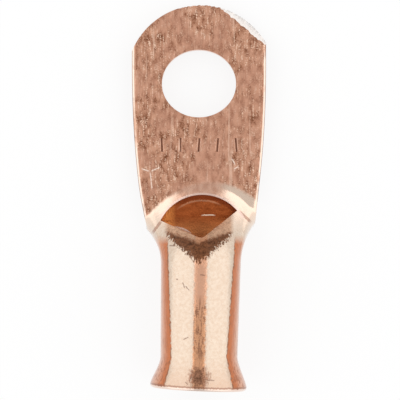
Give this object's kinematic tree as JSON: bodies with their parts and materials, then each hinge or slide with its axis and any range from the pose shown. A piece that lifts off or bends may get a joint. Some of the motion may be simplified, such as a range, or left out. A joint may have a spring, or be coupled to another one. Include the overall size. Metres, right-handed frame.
{
  "type": "cable lug",
  "caption": "Tubular copper cable lug: a flat palm with a stud hole, a slanted neck with an open sight mouth, and a round barrel with a belled end for the conductor.",
  "frame": {"origin": "centre of the stud hole on the palm's contact face", "axes": "+X across the palm, +Y along the lug towards the palm's end, +Z out of the palm's upper face, away from the contact face"},
  "size_m": [0.0188, 0.054, 0.0134],
  "materials": {
    "copper": "bare drawn copper, matte and grained where coined, brighter on the barrel"
  },
  "bodies": {
    "root": {"lug": "copper"}
  },
  "joints": []
}
